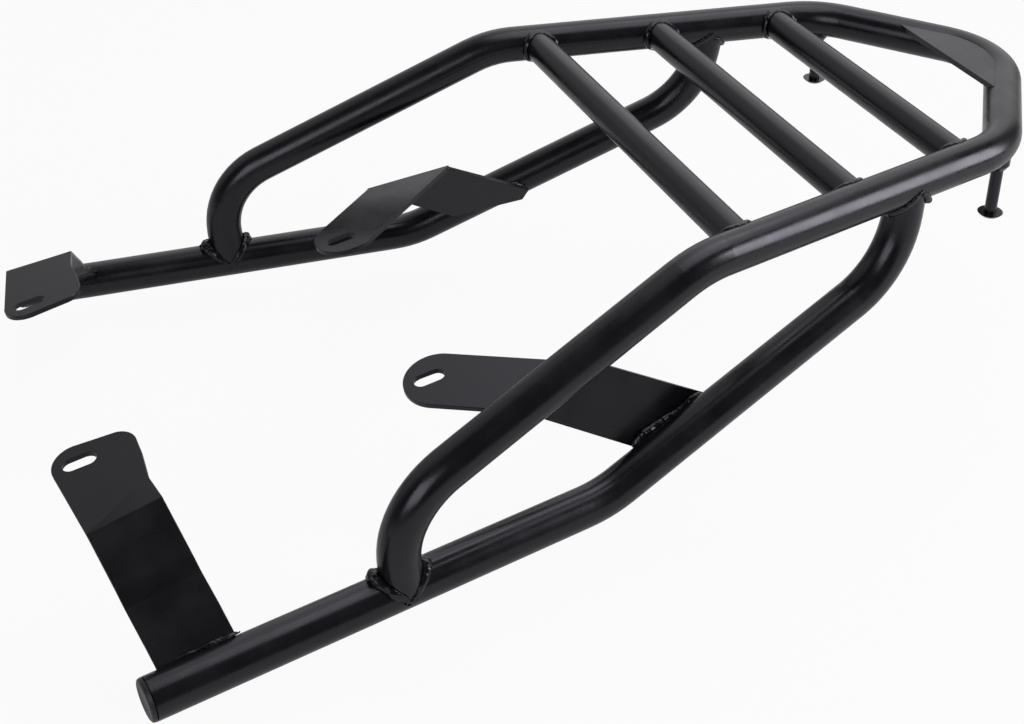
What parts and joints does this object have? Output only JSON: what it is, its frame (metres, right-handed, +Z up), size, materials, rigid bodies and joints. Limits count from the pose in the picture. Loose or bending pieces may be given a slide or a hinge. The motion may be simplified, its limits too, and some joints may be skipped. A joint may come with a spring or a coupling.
{
  "type": "motorcycle luggage rack",
  "caption": "Black welded tube motorcycle luggage rack with a tapered platform, cross tubes, side supports and slotted sheet brackets.",
  "frame": {"origin": "middle of the four tail slots, at the height of the pads there", "axes": "+X to the rear of the motorcycle, +Y to the rider's right, +Z up"},
  "size_m": [0.5238, 0.3414, 0.1344],
  "materials": {
    "frame": "satin",
    "plastic": "satin",
    "bolt": "satin"
  },
  "bodies": {
    "root": {"top_loop_tube": "frame", "lower_tube_left": "frame", "lower_tube_right": "frame", "cross_tube_front": "frame", "cross_tube_middle": "frame", "cross_tube_rear": "frame", "front_bracket_left": "frame", "front_bracket_right": "frame", "middle_bracket_left": "frame", "middle_bracket_right": "frame", "end_cap_left": "plastic", "end_cap_right": "plastic", "weld_boss_left": "frame", "weld_boss_right": "frame", "rear_bolt_left": "bolt", "rear_bolt_right": "bolt", "tail_plate": "frame", "foot_bead_left": "frame", "foot_bead_right": "frame", "lower_top_bead_left": "frame", "lower_top_bead_right": "frame", "cross_bead_front_left": "frame", "cross_bead_front_right": "frame", "cross_bead_middle_left": "frame", "cross_bead_middle_right": "frame", "cross_bead_rear_left": "frame", "cross_bead_rear_right": "frame", "front_bracket_bead_left": "frame", "front_bracket_bead_right": "frame", "middle_bracket_bead_left": "frame", "middle_bracket_bead_right": "frame"}
  },
  "joints": []
}
